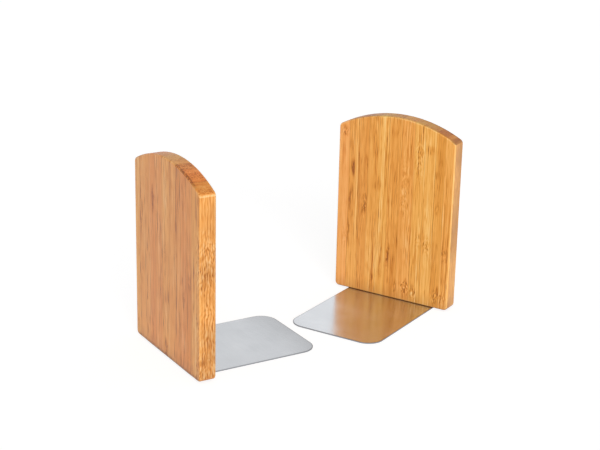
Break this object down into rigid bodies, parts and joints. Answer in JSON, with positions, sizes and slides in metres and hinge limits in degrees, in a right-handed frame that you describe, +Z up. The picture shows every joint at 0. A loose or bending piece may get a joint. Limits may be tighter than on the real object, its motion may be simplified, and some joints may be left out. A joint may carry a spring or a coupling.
{
  "type": "pair of bookends",
  "caption": "Pair of free-standing bookends, each an arched laminated bamboo board screwed to a thin flat steel plate that slides under the books.",
  "frame": {"origin": "on the table, under the middle of the pair's box", "axes": "+Z up, +X along the right bookend's plate from its rounded end to its board, +Y away from the picture's near side"},
  "size_m": [0.2714, 0.1988, 0.175],
  "materials": {
    "bamboo": "laminated bamboo under a satin clear lacquer",
    "plate_steel": "stainless sheet with a fine brushed grain",
    "screw_steel": "bright zinc plated"
  },
  "bodies": {
    "root": {"right_stave_01": "bamboo", "right_stave_02": "bamboo", "right_stave_03": "bamboo", "right_stave_04": "bamboo", "right_stave_05": "bamboo", "right_stave_06": "bamboo", "right_stave_07": "bamboo", "right_stave_08": "bamboo", "right_stave_09": "bamboo", "right_stave_10": "bamboo", "right_stave_11": "bamboo", "right_base_plate": "plate_steel", "right_screw_1": "screw_steel", "right_screw_2": "screw_steel", "right_screw_3": "screw_steel", "left_stave_01": "bamboo", "left_stave_02": "bamboo", "left_stave_03": "bamboo", "left_stave_04": "bamboo", "left_stave_05": "bamboo", "left_stave_06": "bamboo", "left_stave_07": "bamboo", "left_stave_08": "bamboo", "left_stave_09": "bamboo", "left_stave_10": "bamboo", "left_stave_11": "bamboo", "left_base_plate": "plate_steel", "left_screw_1": "screw_steel", "left_screw_2": "screw_steel", "left_screw_3": "screw_steel"}
  },
  "joints": []
}
